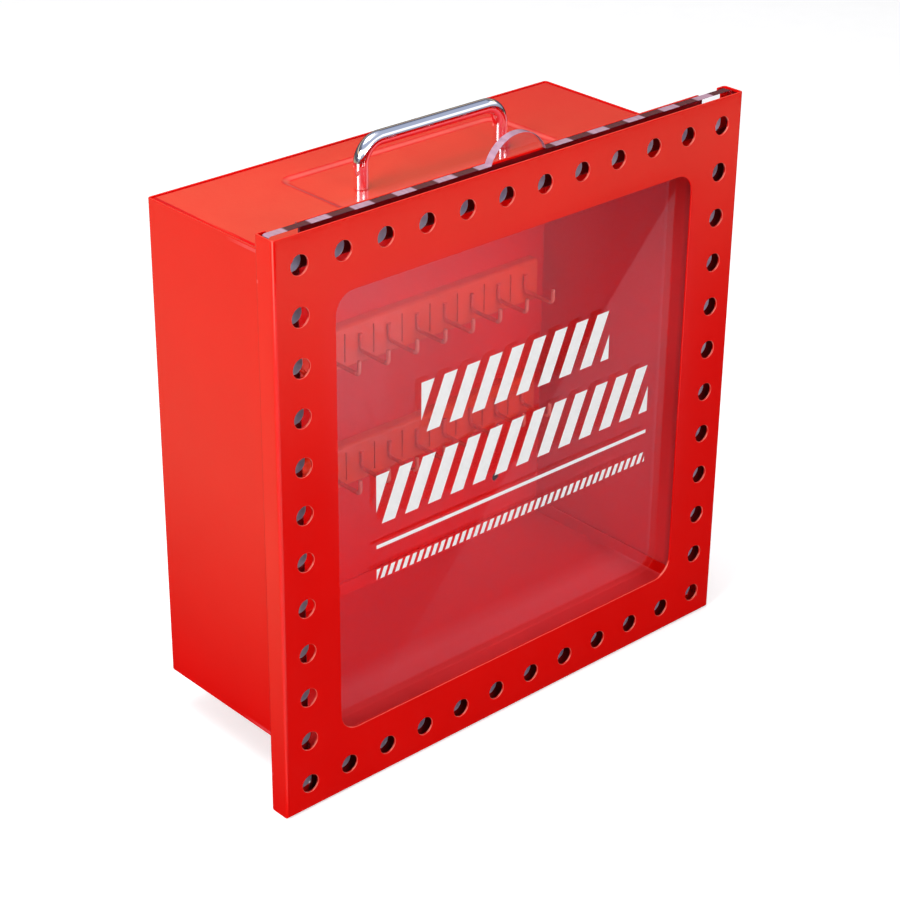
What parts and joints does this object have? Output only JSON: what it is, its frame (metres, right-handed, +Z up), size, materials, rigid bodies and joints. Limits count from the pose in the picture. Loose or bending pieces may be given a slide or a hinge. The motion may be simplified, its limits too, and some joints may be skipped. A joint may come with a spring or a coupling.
{
  "type": "group lockout box",
  "caption": "Sheet steel key cabinet with a ring of padlock holes round its front frame, a clear panel that lifts out, a carrying handle and two rows of key hooks.",
  "frame": {"origin": "centre of the outer face of the cabinet's back wall, where it lies on the wall", "axes": "+Z up, the front with its window faces -Y, +Y points into the wall, +X is to the right seen from the front"},
  "size_m": [0.4, 0.16, 0.416],
  "materials": {
    "red_paint": "gloss powder coat",
    "clear_acrylic": "polished clear acrylic",
    "chrome_bar": "bright chrome plate",
    "zinc_hardware": "bright zinc plate",
    "hook_paint": "gloss powder coat"
  },
  "bodies": {
    "cabinet": {"front_frame": "red_paint", "cabinet_wrap": "red_paint", "top_panel": "red_paint", "bottom_panel": "red_paint", "hook_rail_upper": "red_paint", "hook_rail_lower": "red_paint", "carry_handle": "chrome_bar", "handle_screw_left": "zinc_hardware", "handle_screw_right": "zinc_hardware", "handle_washer_left": "zinc_hardware", "handle_washer_right": "zinc_hardware", "key_hook_upper_01": "hook_paint", "key_hook_upper_02": "hook_paint", "key_hook_upper_03": "hook_paint", "key_hook_upper_04": "hook_paint", "key_hook_upper_05": "hook_paint", "key_hook_upper_06": "hook_paint", "key_hook_upper_07": "hook_paint", "key_hook_upper_08": "hook_paint", "key_hook_upper_09": "hook_paint", "key_hook_upper_10": "hook_paint", "key_hook_upper_11": "hook_paint", "key_hook_upper_12": "hook_paint", "key_hook_lower_01": "hook_paint", "key_hook_lower_02": "hook_paint", "key_hook_lower_03": "hook_paint", "key_hook_lower_04": "hook_paint", "key_hook_lower_05": "hook_paint", "key_hook_lower_06": "hook_paint", "key_hook_lower_07": "hook_paint", "key_hook_lower_08": "hook_paint", "key_hook_lower_09": "hook_paint", "key_hook_lower_10": "hook_paint", "key_hook_lower_11": "hook_paint", "key_hook_lower_12": "hook_paint"},
    "panel": {"clear_panel": "clear_acrylic"}
  },
  "joints": [
    {"name": "panel_lift", "type": "slide", "parent": "cabinet", "child": "panel", "axis": [0, 0, 1], "range_m": [0, 0.4]}
  ]
}
